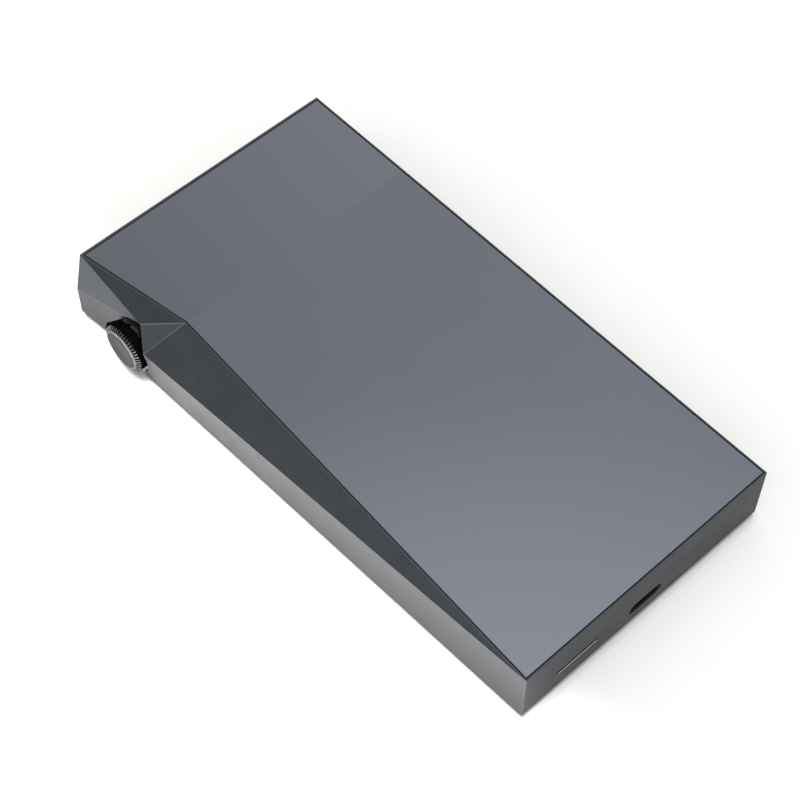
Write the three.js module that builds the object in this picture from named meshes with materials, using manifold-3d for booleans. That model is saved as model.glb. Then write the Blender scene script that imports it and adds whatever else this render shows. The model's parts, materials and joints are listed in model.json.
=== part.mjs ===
// A pocket digital audio player, lying on its screen with its back glass up.
// Millimetres, +Z up. The origin is on the table, under the middle of the whole player.
// +Y is the end with the headphone sockets, -Y the end with the charging port, and the
// volume wheel looks out of the -X side.
import * as THREE from 'three';
import { mergeVertices } from 'three/addons/utils/BufferGeometryUtils.js';
import Module from 'manifold-3d';

const wasm = await Module();
wasm.setup();

// ---- driving dimensions -------------------------------------------------------------

const LENGTH = 141;
const THICKNESS = 17.5;
const PANEL_WIDTH = 70;
const OVERALL_WIDTH = 76.4;
const FIT_GAP = 0.3;
const CURVE_STEPS = 6;
const ROUND_STEPS = 32;

const RIGHT = OVERALL_WIDTH / 2;
const PANEL_LEFT = RIGHT - PANEL_WIDTH;
const TOP_END = LENGTH / 2;
const LOW_END = -LENGTH / 2;
const RIM_Z = 1.7;

const WHEEL = { y: 49.2, z: 8.75, radius: 6.05, faceRadius: 5.3, outer: -RIGHT, inner: -34.6 };
const RECESS = { floor: -32.4, radius: 7, lowY: 44.7 };

const CAVITY = { left: -28, right: 36.4, low: -68.5, high: 67, roof: 15 };
const REAR_SEAT_Z = 16.3;
const PORT_Z = 6.5;
const CARD_Z = 7.7;
const SOCKET_Z = 8.75;

// How far a cutter runs past a face, and how far a boss is rooted in the wall behind it.
const PAST = 1;
const ROOT = 0.4;

// ---- solids -------------------------------------------------------------------------

const X = new THREE.Vector3(1, 0, 0);
const Y = new THREE.Vector3(0, 1, 0);
const Z = new THREE.Vector3(0, 0, 1);

// An outline drawn across X is in (Y, Z), across Y in (Z, X) and across Z in (X, Y).
const ACROSS = {
  x: new THREE.Matrix4().makeBasis(Y, Z, X),
  y: new THREE.Matrix4().makeBasis(Z, X, Y),
  z: new THREE.Matrix4(),
};

// A turned profile's height runs along the named axis.
const TURNED = {
  x: new THREE.Matrix4().makeBasis(Z, X, Y),
  y: new THREE.Matrix4(),
  z: new THREE.Matrix4().makeBasis(Y, Z, X),
};

function signedVolume(position, index) {
  const corner = [new THREE.Vector3(), new THREE.Vector3(), new THREE.Vector3()];
  let sum = 0;
  for (let i = 0; i < index.count; i += 3) {
    corner.forEach((point, k) => point.fromBufferAttribute(position, index.getX(i + k)));
    sum += corner[0].dot(corner[1].clone().cross(corner[2]));
  }
  return sum / 6;
}

// Keeps the places of a geometry only, joins its seams and turns its faces outwards.
function closed(geometry) {
  geometry.deleteAttribute('normal');
  geometry.deleteAttribute('uv');
  const joined = mergeVertices(geometry, 1e-4);
  const index = joined.getIndex();
  const kept = [];
  for (let i = 0; i < index.count; i += 3) {
    const [a, b, c] = [index.getX(i), index.getX(i + 1), index.getX(i + 2)];
    if (a !== b && b !== c && c !== a) {
      kept.push(a, b, c);
    }
  }
  joined.setIndex(kept);
  if (signedVolume(joined.getAttribute('position'), joined.getIndex()) < 0) {
    joined.setIndex(kept.reverse());
  }
  return joined;
}

function solid(geometry) {
  const whole = closed(geometry);
  const vertProperties = new Float32Array(whole.getAttribute('position').array);
  const triVerts = new Uint32Array(whole.getIndex().array);
  return new wasm.Manifold(new wasm.Mesh({ numProp: 3, vertProperties, triVerts }));
}

function surface(manifold) {
  const { vertProperties, triVerts } = manifold.getMesh();
  const geometry = new THREE.BufferGeometry();
  geometry.setAttribute('position', new THREE.BufferAttribute(vertProperties, 3));
  geometry.setIndex(new THREE.BufferAttribute(triVerts, 1));
  return geometry;
}

function cut(geometry, ...tools) {
  return surface(tools.reduce((left, tool) => left.subtract(solid(tool)), solid(geometry)));
}

function join(geometry, ...others) {
  return surface(others.reduce((left, other) => left.add(solid(other)), solid(geometry)));
}

function overlap(geometry, other) {
  return surface(solid(geometry).intersect(solid(other)));
}

function box([x0, x1], [y0, y1], [z0, z1]) {
  const geometry = new THREE.BoxGeometry(x1 - x0, y1 - y0, z1 - z0);
  geometry.translate((x0 + x1) / 2, (y0 + y1) / 2, (z0 + z1) / 2);
  return geometry;
}

function extruded(shape, axis, [low, high]) {
  const settings = { depth: high - low, bevelEnabled: false, curveSegments: CURVE_STEPS };
  const geometry = new THREE.ExtrudeGeometry(shape, settings);
  geometry.translate(0, 0, low);
  geometry.applyMatrix4(ACROSS[axis]);
  return geometry;
}

function outline(points) {
  return new THREE.Shape(points.map(([a, b]) => new THREE.Vector2(a, b)));
}

// A rectangle with round corners, given by its middle, its two sizes and its corner radius.
function rounded(midA, midB, sizeA, sizeB, radius) {
  const [a0, a1, b0, b1] = [midA - sizeA / 2, midA + sizeA / 2, midB - sizeB / 2, midB + sizeB / 2];
  const shape = new THREE.Shape();
  shape.absarc(a1 - radius, b1 - radius, radius, 0, Math.PI / 2);
  shape.absarc(a0 + radius, b1 - radius, radius, Math.PI / 2, Math.PI);
  shape.absarc(a0 + radius, b0 + radius, radius, Math.PI, 1.5 * Math.PI);
  shape.absarc(a1 - radius, b0 + radius, radius, 1.5 * Math.PI, 2 * Math.PI);
  return shape;
}

// profile lists (radius, height) and starts and ends on the axis or closes on itself.
function turned(profile, axis, centre, steps = ROUND_STEPS) {
  const points = profile.map(([radius, height]) => new THREE.Vector2(radius, height));
  const geometry = new THREE.LatheGeometry(points, steps);
  geometry.applyMatrix4(TURNED[axis]);
  geometry.translate(...centre);
  return geometry;
}

function rod(radius, axis, centre, [low, high], steps = ROUND_STEPS) {
  return turned([[0, low], [radius, low], [radius, high], [0, high]], axis, centre, steps);
}

function tube(inner, outer, axis, centre, [low, high], steps = ROUND_STEPS) {
  const profile = [[inner, low], [outer, low], [outer, high], [inner, high], [inner, low]];
  return turned(profile, axis, centre, steps);
}

// A strip that follows a line of (Y, Z) points between two X values, thick to the line's left.
function folded(route, thickness, range) {
  const points = route.map(([y, z]) => new THREE.Vector2(y, z));
  const normals = points.slice(1).map((point, i) => {
    const along = point.clone().sub(points[i]).normalize();
    return new THREE.Vector2(-along.y, along.x);
  });
  const beside = points.map((point, i) => {
    const before = normals[Math.max(i - 1, 0)];
    const after = normals[Math.min(i, normals.length - 1)];
    const mitre = before.clone().add(after).multiplyScalar(thickness / (1 + before.dot(after)));
    return point.clone().add(mitre);
  });
  return extruded(new THREE.Shape([...points, ...beside.reverse()]), 'x', range);
}

// ---- parts --------------------------------------------------------------------------

const FINISH = {
  housing: { color: 0x3f4347, roughness: 0.55, metalness: 0.85 },
  rearGlass: { color: 0x6d727b, roughness: 0.12, metalness: 0.2 },
  frontGlass: { color: 0x0b0c0e, roughness: 0.05, metalness: 0.0 },
  display: { color: 0x14161a, roughness: 0.25, metalness: 0.1 },
  wheel: { color: 0x1b1c1e, roughness: 0.35, metalness: 0.9 },
  wheelCap: { color: 0x2c2d2f, roughness: 0.35, metalness: 0.9 },
  light: { color: 0x1c1d20, roughness: 0.4, metalness: 0.0 },
  keys: { color: 0x33363a, roughness: 0.4, metalness: 0.85 },
  steel: { color: 0xa9acb0, roughness: 0.35, metalness: 0.9 },
  darkSteel: { color: 0x2b2c2e, roughness: 0.35, metalness: 0.9 },
  brass: { color: 0xb8934a, roughness: 0.35, metalness: 0.9 },
  black: { color: 0x17181a, roughness: 0.6, metalness: 0.0 },
  board: { color: 0x12402a, roughness: 0.5, metalness: 0.1 },
  shield: { color: 0xb4b6b8, roughness: 0.4, metalness: 0.8 },
  battery: { color: 0x2c3036, roughness: 0.45, metalness: 0.2 },
  foam: { color: 0x24262a, roughness: 0.95, metalness: 0.0 },
  flex: { color: 0x8a5a22, roughness: 0.5, metalness: 0.1 },
};

const player = new THREE.Group();

function add(name, geometry, finish) {
  const mesh = new THREE.Mesh(closed(geometry), new THREE.MeshStandardMaterial(FINISH[finish]));
  mesh.name = name;
  player.add(mesh);
}

// ---- housing ------------------------------------------------------------------------

// The sockets and ports of both ends, and the keys. Keys stand in shallow milled recesses.
const SOCKETS = [
  { name: 'jack_3_5', x: 22.5, bore: 1.85, ring: 3.5, body: 8, depth: 12.5 },
  { name: 'jack_2_5', x: 11, bore: 1.35, ring: 3, body: 6.6, depth: 11 },
  { name: 'jack_4_4', x: -1, bore: 2.3, ring: 4.2, body: 9, depth: 13.5 },
];
const SIDE_KEYS = [
  { name: 'previous', y: 22 },
  { name: 'play', y: 34 },
  { name: 'next', y: 46 },
];
const KEY = { length: 9.2, width: 2.8, proud: 0.4, travel: 0.35, sunk: 0.5, flange: 0.6, lip: 0.8 };
const KEY_RECESS = { width: 5.2, corner: 2.5, sideMid: 34, sideLength: 38, powerLength: 14 };
const POWER_X = -17;
const PORT = { x: 3.4, width: 9.4, height: 3.2 };
const CARD = { x: -16.5, width: 12, height: 1.1 };
const BUSHING = { bore: 1.4, outer: 2.15, flange: 3.2 };
const HOLE_GAP = 0.15;
// An oval's corner radius is its height over this, so that its straight ends don't vanish.
const OVAL = 2.02;

const BRACKET_BOSSES = [[33.8, 60], [33.8, -64], [-25.9, 63], [-25.9, -64]];
const MAIN_POSTS = [[-16, 49.6], [27.8, 26.4]];
const LOW_POSTS = [[-20.5, -48.6], [28, -63]];
const BOSS = { size: 4.6, low: 4.2, bore: 0.85, depth: 3.4 };
const POST = { radius: 1.8, mainLow: 10.7, lowLow: 10, depth: 2.6 };

// Corners of the faceted outside. The wheel side bulges around the wheel: a wing beside the
// socket end, three facets that run up to the back glass, and a long wall that twists from
// upright at the port end to leaning beside the wheel.
const WING_OUT = -35.35;
const WING_SLOPE = 0.0958;
const WALL_STEPS = 6;

function wingX(y) {
  return WING_OUT + WING_SLOPE * (68.5 - y);
}

const CORNER = {
  rearTopRight: [RIGHT, TOP_END, THICKNESS],
  rearTopLeft: [PANEL_LEFT, TOP_END, THICKNESS],
  rearNotch: [-26.5, 40.1, THICKNESS],
  rearLowLeft: [PANEL_LEFT, LOW_END, THICKNESS],
  rearLowRight: [RIGHT, LOW_END, THICKNESS],
  rimTopRight: [RIGHT, TOP_END, RIM_Z],
  rimTopLeft: [PANEL_LEFT, TOP_END, RIM_Z],
  rimLowLeft: [PANEL_LEFT, LOW_END, RIM_Z],
  rimLowRight: [RIGHT, LOW_END, RIM_Z],
  wingHigh: [WING_OUT, 68.5, 10],
  wingRim: [WING_OUT, 68.5, RIM_Z],
  mouthPeak: [-33.2, 47.5, 15.8],
  mouthNear: [-36.6, 42.75, 12.65],
  mouthFar: [wingX(51.8), 51.8, 14.4],
  mouthTail: [wingX(59.8), 59.8, 5.15],
  mouthTailRim: [wingX(60.9), 60.9, RIM_Z],
};
const WALL_RIM_NEAR = [-35.55, RECESS.lowY, RIM_Z];

function between(a, b, t) {
  return a.map((value, i) => value + (b[i] - value) * t);
}

// The wall beside the wheel at a given height, on the rulings that the wall twists along.
function wallX(y, z) {
  const along = (y - LOW_END) / (CORNER.mouthNear[1] - LOW_END);
  const high = between(CORNER.rearLowLeft, CORNER.mouthNear, along);
  const low = between(CORNER.rimLowLeft, WALL_RIM_NEAR, along);
  return low[0] + ((z - low[2]) / (high[2] - low[2])) * (high[0] - low[0]);
}

function housingOutside() {
  const c = CORNER;
  const ridge = [];
  const foot = [];
  for (let step = 1; step < WALL_STEPS; step += 1) {
    ridge.push(between(c.mouthNear, c.rearLowLeft, step / WALL_STEPS));
    foot.push(between(WALL_RIM_NEAR, c.rimLowLeft, step / WALL_STEPS));
  }
  // The mouth follows the wheel on the near side, from its corner down to the rim.
  const mouth = [];
  for (let degrees = 15; degrees >= -50; degrees -= 13) {
    const angle = THREE.MathUtils.degToRad(degrees);
    const y = WHEEL.y - RECESS.radius * Math.cos(angle);
    const z = WHEEL.z + RECESS.radius * Math.sin(angle);
    mouth.push([wallX(y, z), y, z]);
  }
  const edge = [c.mouthTailRim, c.mouthTail, c.mouthFar, c.mouthPeak, c.mouthNear, ...mouth, WALL_RIM_NEAR];
  const floor = edge.map(([, y, z]) => [RECESS.floor, y, z]);
  const footDown = [...foot].reverse();
  const faces = [
    [c.rearLowRight, c.rearTopRight, c.rearTopLeft, c.rearNotch, c.rearLowLeft],
    [c.rimLowRight, c.rimLowLeft, ...footDown, WALL_RIM_NEAR, floor.at(-1)],
    [c.rimLowRight, floor.at(-1), floor[0], c.rimTopRight],
    [floor[0], c.mouthTailRim, c.wingRim, c.rimTopLeft, c.rimTopRight],
    [c.rimLowRight, c.rimTopRight, c.rearTopRight, c.rearLowRight],
    [c.rimTopRight, c.rimTopLeft, c.rearTopLeft, c.rearTopRight],
    [c.rimLowLeft, c.rimLowRight, c.rearLowRight, c.rearLowLeft],
    [c.rimTopLeft, c.wingRim, c.wingHigh, c.rearTopLeft],
    [c.wingRim, c.mouthTailRim, c.mouthTail, c.mouthFar, c.wingHigh],
    [c.rearTopLeft, c.wingHigh, c.mouthFar, c.mouthPeak],
    [c.rearTopLeft, c.mouthPeak, c.rearNotch],
    [c.rearNotch, c.mouthPeak, c.mouthNear],
    [c.rearNotch, c.mouthNear, ...ridge, c.rearLowLeft],
    [ridge[0], c.mouthNear, ...mouth, WALL_RIM_NEAR, foot[0]],
  ];
  const ridgeToEnd = [...ridge, c.rearLowLeft];
  const footToEnd = [...foot, c.rimLowLeft];
  for (let i = 0; i < WALL_STEPS - 1; i += 1) {
    faces.push([footToEnd[i], footToEnd[i + 1], ridgeToEnd[i + 1], ridgeToEnd[i]]);
  }
  for (let i = 0; i < edge.length - 1; i += 1) {
    faces.push([edge[i], floor[i], floor[i + 1], edge[i + 1]]);
  }
  const corners = faces.flatMap((face) =>
    face.slice(2).flatMap((last, i) => [...face[0], ...face[i + 1], ...last]));
  const floorShape = floor.map(([, y, z]) => new THREE.Vector2(y, z));
  const floorCorners = THREE.ShapeUtils.triangulateShape(floorShape, []).flatMap(([i, j, k]) =>
    [...floor[k], ...floor[j], ...floor[i]]);
  return { walls: corners, floorCorners };
}

function fromCorners(corners) {
  const geometry = new THREE.BufferGeometry();
  geometry.setAttribute('position', new THREE.Float32BufferAttribute(corners, 3));
  return geometry;
}

// The back glass lies in a seat that keeps a thin lip of metal around it, wider at the socket end.
const LIP = { side: 0.38, low: 0.38, top: 0.62 };
const REAR_GLASS = { gap: 0.14, low: 16.65, filmGap: 0.5, film: [16.35, 16.6] };

function rearOutline(inset) {
  const side = LIP.side + inset;
  const top = TOP_END - LIP.top - inset;
  const low = LOW_END + LIP.low + inset;
  // The slanted edges meet the ends at these shares of a square corner's inset.
  const [atTop, atLow] = [1.25, 0.95];
  return outline([
    [RIGHT - side, top],
    [PANEL_LEFT + side * atTop, top],
    [CORNER.rearNotch[0] + side, CORNER.rearNotch[1]],
    [PANEL_LEFT + side * atLow, low],
    [RIGHT - side, low],
  ]);
}

function bossBlock([x, y]) {
  const half = BOSS.size / 2;
  const across = x > 0 ? [x - half, CAVITY.right + ROOT] : [CAVITY.left - ROOT, x + half];
  return box(across, [y - half, y + half], [BOSS.low, CAVITY.roof + ROOT]);
}

function posts(places, low) {
  return places.map(([x, y]) => rod(POST.radius, 'z', [x, y, 0], [low, CAVITY.roof + ROOT], 16));
}

function screwBores(places, top) {
  return places.map(([x, y]) => rod(BOSS.bore, 'z', [x, y, 0], [0, top], 12));
}

function housing() {
  const { walls, floorCorners } = housingOutside();
  const cavity = box([CAVITY.left, CAVITY.right], [CAVITY.low, CAVITY.high], [0, CAVITY.roof]);
  const seat = extruded(rearOutline(0), 'z', [REAR_SEAT_Z, THICKNESS + PAST]);
  const hollow = cut(fromCorners([...walls, ...floorCorners]), cavity, seat);
  const solidParts = join(
    hollow,
    ...BRACKET_BOSSES.map(bossBlock),
    ...posts(MAIN_POSTS, POST.mainLow),
    ...posts(LOW_POSTS, POST.lowLow),
  );

  const toSide = [CAVITY.right - PAST, RIGHT + PAST];
  const toTop = [CAVITY.high - PAST, TOP_END + PAST];
  const toLow = [LOW_END - PAST, CAVITY.low + PAST];
  const socketHoles = SOCKETS.map(({ x, ring }) => rod(ring + HOLE_GAP, 'y', [x, 0, SOCKET_Z], toTop));
  const keyHoles = SIDE_KEYS.map(({ y }) =>
    extruded(rounded(y, SOCKET_Z, KEY.length, KEY.width, KEY.width / OVAL), 'x', toSide));
  const { width, corner, sideMid, sideLength, powerLength } = KEY_RECESS;
  const sideRecess = rounded(sideMid, SOCKET_Z, sideLength, width, corner);
  const powerRecess = rounded(SOCKET_Z, POWER_X, width, powerLength, corner);
  const powerHole = rounded(SOCKET_Z, POWER_X, KEY.width, KEY.length, KEY.width / OVAL);
  const toRecess = [RECESS.floor - PAST, CAVITY.left + PAST];
  const shaftHole = rod(BUSHING.outer + HOLE_GAP, 'x', [0, WHEEL.y, WHEEL.z], toRecess, 24);
  const port = rounded(PORT_Z, PORT.x, PORT.height, PORT.width, PORT.height / OVAL);
  const card = rounded(CARD_Z, CARD.x, CARD.height, CARD.width, CARD.height / OVAL);
  return cut(
    solidParts,
    ...screwBores(BRACKET_BOSSES, BOSS.low + BOSS.depth),
    ...screwBores(MAIN_POSTS, POST.mainLow + POST.depth),
    ...screwBores(LOW_POSTS, POST.lowLow + POST.depth),
    ...socketHoles,
    ...keyHoles,
    extruded(sideRecess, 'x', [RIGHT - KEY.sunk, RIGHT + PAST]),
    extruded(powerRecess, 'y', [TOP_END - KEY.sunk, TOP_END + PAST]),
    extruded(powerHole, 'y', toTop),
    shaftHole,
    extruded(port, 'y', toLow),
    extruded(card, 'y', toLow),
  );
}

add('main_housing', housing(), 'housing');
add('rear_glass', extruded(rearOutline(REAR_GLASS.gap), 'z', [REAR_GLASS.low, THICKNESS]), 'rearGlass');
add('rear_glass_film', extruded(rearOutline(REAR_GLASS.filmGap), 'z', REAR_GLASS.film), 'black');

// ---- front --------------------------------------------------------------------------

const FRONT = { midX: 3.2, width: 68, length: 139.2, top: 1.4, edge: 0.35, corner: 1.2 };
const GASKET = { width: 66.6, length: 138, gap: 0.05 };
const PANEL = { midX: 3.4, width: 61.4, length: 114, low: 1.5, high: 3.1 };
const BRACKET = { midX: 4.2, midY: -0.75, width: 63.6, length: 134.7, low: 3.3, high: 3.9, hole: 0.95 };
const DISPLAY_FLEX = {
  x: [9.5, 18.5],
  notchX: [8.5, 19.5],
  notchY: [-61.4, -57.8],
  route: [[-57.3, 2.2], [-59.6, 2.2], [-59.6, 8.3], [-53, 8.3]],
};
const FILM = 0.2;

function frontGlass() {
  const [width, length] = [FRONT.width - 2 * FRONT.edge, FRONT.length - 2 * FRONT.edge];
  const shape = rounded(FRONT.midX, 0, width, length, FRONT.corner);
  const geometry = new THREE.ExtrudeGeometry(shape, {
    depth: FRONT.top - 2 * FRONT.edge,
    bevelThickness: FRONT.edge,
    bevelSize: FRONT.edge,
    bevelSegments: 1,
    curveSegments: CURVE_STEPS,
  });
  geometry.translate(0, 0, FRONT.edge);
  return geometry;
}

function frontGasket() {
  const outer = rounded(FRONT.midX, 0, GASKET.width, GASKET.length, FRONT.corner);
  const holeX = [CAVITY.left + 0.6, CAVITY.right - 0.6];
  const holeY = [CAVITY.low + 0.6, CAVITY.high - 0.2];
  const hole = box(holeX, holeY, [0, RIM_Z + PAST]);
  return cut(extruded(outer, 'z', [FRONT.top + GASKET.gap, RIM_Z - GASKET.gap]), hole);
}

function displayBracket() {
  const plate = rounded(BRACKET.midX, BRACKET.midY, BRACKET.width, BRACKET.length, 1);
  const through = [BRACKET.low - PAST, BRACKET.high + PAST];
  const holes = BRACKET_BOSSES.map(([x, y]) => rod(BRACKET.hole, 'z', [x, y, 0], through, 12));
  const notch = box(DISPLAY_FLEX.notchX, DISPLAY_FLEX.notchY, through);
  return cut(extruded(plate, 'z', [BRACKET.low, BRACKET.high]), notch, ...holes);
}

const SCREW = { head: 1.3, chamfer: 0.1, headHeight: 0.6, edgeHeight: 0.35, shank: 0.6, gap: 0.1 };
const SCREW_LENGTH = { bracket: 3.6, main: 3.4, low: 3.2 };

// A screw that points up, its head just under the plate whose lower side is at plateLow.
function screw([x, y], plateLow, length) {
  const under = plateLow - SCREW.gap;
  const profile = [
    [0, under - SCREW.headHeight],
    [SCREW.head - SCREW.chamfer, under - SCREW.headHeight],
    [SCREW.head, under - SCREW.edgeHeight],
    [SCREW.head, under],
    [SCREW.shank, under],
    [SCREW.shank, under + length],
    [0, under + length],
  ];
  return turned(profile, 'z', [x, y, 0], 12);
}

function screws(name, places, plateLow, length) {
  places.forEach((place, i) => add(`${name}_${i + 1}`, screw(place, plateLow, length), 'steel'));
}

const panelX = [PANEL.midX - PANEL.width / 2, PANEL.midX + PANEL.width / 2];
const panelY = [-PANEL.length / 2, PANEL.length / 2];
add('front_glass', frontGlass(), 'frontGlass');
add('front_gasket', frontGasket(), 'black');
add('display_panel', box(panelX, panelY, [PANEL.low, PANEL.high]), 'display');
add('display_bracket', displayBracket(), 'steel');
add('display_flex', folded(DISPLAY_FLEX.route, FILM, DISPLAY_FLEX.x), 'flex');
screws('bracket_screw', BRACKET_BOSSES, BRACKET.low, SCREW_LENGTH.bracket);

// ---- volume wheel -------------------------------------------------------------------

const TEETH = 48;
const TOOTH_DEPTH = 0.34;
const SHAFT = { radius: 1.25, start: WHEEL.outer + 1.6, gap: 0.15 };
// The cap is flush in a pocket, inside a plain rim that falls back a little to the teeth.
const CAP = { radius: 4.4, thickness: 0.45, pocket: 0.6, gap: 0.12 };
const RIM_FALL = 0.22;
const ENCODER = { x: [-27.7, -21.2], y: [WHEEL.y - 5.7, WHEEL.y + 5.7], z: [4.3, 14], mouth: 3.2 };
const LIGHT_RING = { inner: 3.9, outer: 5.3, x: [RECESS.floor - 1, RECESS.floor - 0.15] };
const wheelAxis = [0, WHEEL.y, WHEEL.z];

// The teeth run up over the bevel of the front edge and down over a smaller one at the back.
function volumeWheel() {
  const points = [];
  for (let tooth = 0; tooth < TEETH; tooth += 1) {
    [[0, WHEEL.radius], [0.5, WHEEL.radius - TOOTH_DEPTH]].forEach(([shift, radius]) => {
      const angle = ((tooth + shift) / TEETH) * 2 * Math.PI;
      points.push([WHEEL.y + radius * Math.cos(angle), WHEEL.z + radius * Math.sin(angle)]);
    });
  }
  const toothed = extruded(outline(points), 'x', [WHEEL.outer - PAST, WHEEL.inner]);
  const frontBevel = WHEEL.radius - WHEEL.faceRadius;
  const backBevel = 0.4;
  const spare = 0.2;
  const cone = turned(
    [
      [0, WHEEL.outer],
      [CAP.radius + CAP.gap, WHEEL.outer],
      [WHEEL.faceRadius, WHEEL.outer + RIM_FALL],
      [WHEEL.radius + spare, WHEEL.outer + RIM_FALL + frontBevel + spare],
      [WHEEL.radius + spare, WHEEL.inner - backBevel + spare],
      [WHEEL.radius - backBevel, WHEEL.inner + spare],
      [0, WHEEL.inner + spare],
    ],
    'x',
    wheelAxis,
    TEETH,
  );
  return cut(
    overlap(toothed, cone),
    rod(CAP.radius + CAP.gap, 'x', wheelAxis, [WHEEL.outer - PAST, WHEEL.outer + CAP.pocket]),
    rod(SHAFT.radius + SHAFT.gap, 'x', wheelAxis, [SHAFT.start - spare, WHEEL.inner + PAST], 24),
  );
}

const capX = [WHEEL.outer, WHEEL.outer + CAP.thickness];
const shaftX = [SHAFT.start, ENCODER.x[0] + ENCODER.mouth - 0.4];
add('volume_wheel', volumeWheel(), 'wheel');
add('wheel_cap', rod(CAP.radius, 'x', wheelAxis, capX, 40), 'wheelCap');
add('wheel_shaft', rod(SHAFT.radius, 'x', wheelAxis, shaftX, 24), 'steel');

const flangeX = [RECESS.floor - 0.7, RECESS.floor - 0.1];
const bushingProfile = [
  [BUSHING.bore, flangeX[0]],
  [BUSHING.flange, flangeX[0]],
  [BUSHING.flange, flangeX[1]],
  [BUSHING.outer, flangeX[1]],
  [BUSHING.outer, CAVITY.left - 0.2],
  [BUSHING.bore, CAVITY.left - 0.2],
  [BUSHING.bore, flangeX[0]],
];
add('wheel_bushing', turned(bushingProfile, 'x', wheelAxis, 24), 'black');
const lightRing = tube(LIGHT_RING.inner, LIGHT_RING.outer, 'x', wheelAxis, LIGHT_RING.x, 36);
add('wheel_light_ring', lightRing, 'light');

const encoderMouth = [ENCODER.x[0] - PAST, ENCODER.x[0] + ENCODER.mouth];
const encoderBore = rod(SHAFT.radius + SHAFT.gap, 'x', wheelAxis, encoderMouth, 24);
add('wheel_encoder', cut(box(ENCODER.x, ENCODER.y, ENCODER.z), encoderBore), 'black');

// ---- keys ---------------------------------------------------------------------------

const KEY_PLAY = 0.15;
const SWITCH = { height: 1.1, size: [4.2, 3.6], corner: 0.4, gap: 0.2 };
const KEY_BOARD = { thickness: 0.6, gap: 0.2, width: 7, sideLength: 40, powerLength: 9, corner: 0.6 };

// A key is a cap that stands through the wall on a wider flange, which keeps it in.
function key(axis, mid, wallInner, face) {
  const [a, b] = axis === 'x' ? [KEY.length, KEY.width] : [KEY.width, KEY.length];
  const cap = rounded(...mid, a - 2 * KEY_PLAY, b - 2 * KEY_PLAY, KEY.width / OVAL - KEY_PLAY);
  const flange = rounded(...mid, a + KEY.lip, b + KEY.lip, KEY.flange);
  const back = wallInner - FIT_GAP;
  return join(
    extruded(cap, axis, [back - KEY.flange / 2, face]),
    extruded(flange, axis, [back - KEY.flange, back]),
  );
}

const behindWall = FIT_GAP + KEY.flange + KEY.travel + SWITCH.gap;
const sideFace = RIGHT - KEY.sunk + KEY.proud;
const powerFace = TOP_END - KEY.sunk + KEY.proud;
const sideSwitchX = [CAVITY.right - behindWall - SWITCH.height, CAVITY.right - behindWall];
const powerSwitchY = [CAVITY.high - behindWall - SWITCH.height, CAVITY.high - behindWall];
SIDE_KEYS.forEach(({ name, y }) => {
  add(`${name}_button`, key('x', [y, SOCKET_Z], CAVITY.right, sideFace), 'keys');
  const shape = rounded(y, SOCKET_Z, ...SWITCH.size, SWITCH.corner);
  add(`${name}_switch`, extruded(shape, 'x', sideSwitchX), 'black');
});
add('power_button', key('y', [SOCKET_Z, POWER_X], CAVITY.high, powerFace), 'keys');
const powerSwitch = rounded(SOCKET_Z, POWER_X, SWITCH.size[1], SWITCH.size[0], SWITCH.corner);
add('power_switch', extruded(powerSwitch, 'y', powerSwitchY), 'black');

function keyBoard(name, shape, axis, switchLow) {
  const top = switchLow - KEY_BOARD.gap;
  add(name, extruded(shape, axis, [top - KEY_BOARD.thickness, top]), 'board');
}

const { width: boardWidth, sideLength, powerLength, corner: boardCorner } = KEY_BOARD;
const sideBoard = rounded(KEY_RECESS.sideMid, SOCKET_Z, sideLength, boardWidth, boardCorner);
const powerBoard = rounded(SOCKET_Z, POWER_X, boardWidth, powerLength, boardCorner);
keyBoard('side_key_board', sideBoard, 'x', sideSwitchX[0]);
keyBoard('power_key_board', powerBoard, 'y', powerSwitchY[0]);

// ---- sockets ------------------------------------------------------------------------

const RING = { play: 0.1, low: CAVITY.high + 0.2, high: TOP_END - 0.05 };
const SOCKET = { front: CAVITY.high - 0.1, back: 1.2, corner: 1 };

SOCKETS.forEach(({ name, x, bore, ring, body, depth }) => {
  const axis = [x, 0, SOCKET_Z];
  add(`${name}_ring`, tube(bore + RING.play, ring, 'y', axis, [RING.low, RING.high], 28), 'brass');
  const bodyY = [SOCKET.front - depth - SOCKET.back, SOCKET.front];
  const block = extruded(rounded(SOCKET_Z, x, body, body, SOCKET.corner), 'y', bodyY);
  const hole = rod(bore, 'y', axis, [SOCKET.front - depth, SOCKET.front + PAST], 20);
  add(`${name}_socket`, cut(block, hole), 'black');
});

// The charging port: a steel shell closed at the back, a tongue inside it and a saddle over it.
const SHELL = { width: 8.6, height: 2.6, wall: 0.3, back: 0.5, front: LOW_END + 0.3, length: 7.3 };
const TONGUE = { half: 3.2, thickness: 0.7, sunk: 0.8, root: 0.1 };
const SADDLE = { half: 5.2, y: [-67.6, -63.4], z: [8, 8.6] };

function oval(width, height) {
  return rounded(PORT_Z, PORT.x, height, width, height / OVAL);
}

function portShell() {
  const end = SHELL.front + SHELL.length;
  const inner = oval(SHELL.width - 2 * SHELL.wall, SHELL.height - 2 * SHELL.wall);
  return cut(
    extruded(oval(SHELL.width, SHELL.height), 'y', [SHELL.front, end]),
    extruded(inner, 'y', [SHELL.front - PAST, end - SHELL.back]),
  );
}

const tongueX = [PORT.x - TONGUE.half, PORT.x + TONGUE.half];
const tongueY = [SHELL.front + TONGUE.sunk, SHELL.front + SHELL.length - SHELL.back - TONGUE.root];
const tongueZ = [PORT_Z - TONGUE.thickness / 2, PORT_Z + TONGUE.thickness / 2];
add('usb_shell', portShell(), 'darkSteel');
add('usb_tongue', box(tongueX, tongueY, tongueZ), 'black');
add('usb_saddle', box([PORT.x - SADDLE.half, PORT.x + SADDLE.half], SADDLE.y, SADDLE.z), 'steel');

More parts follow.
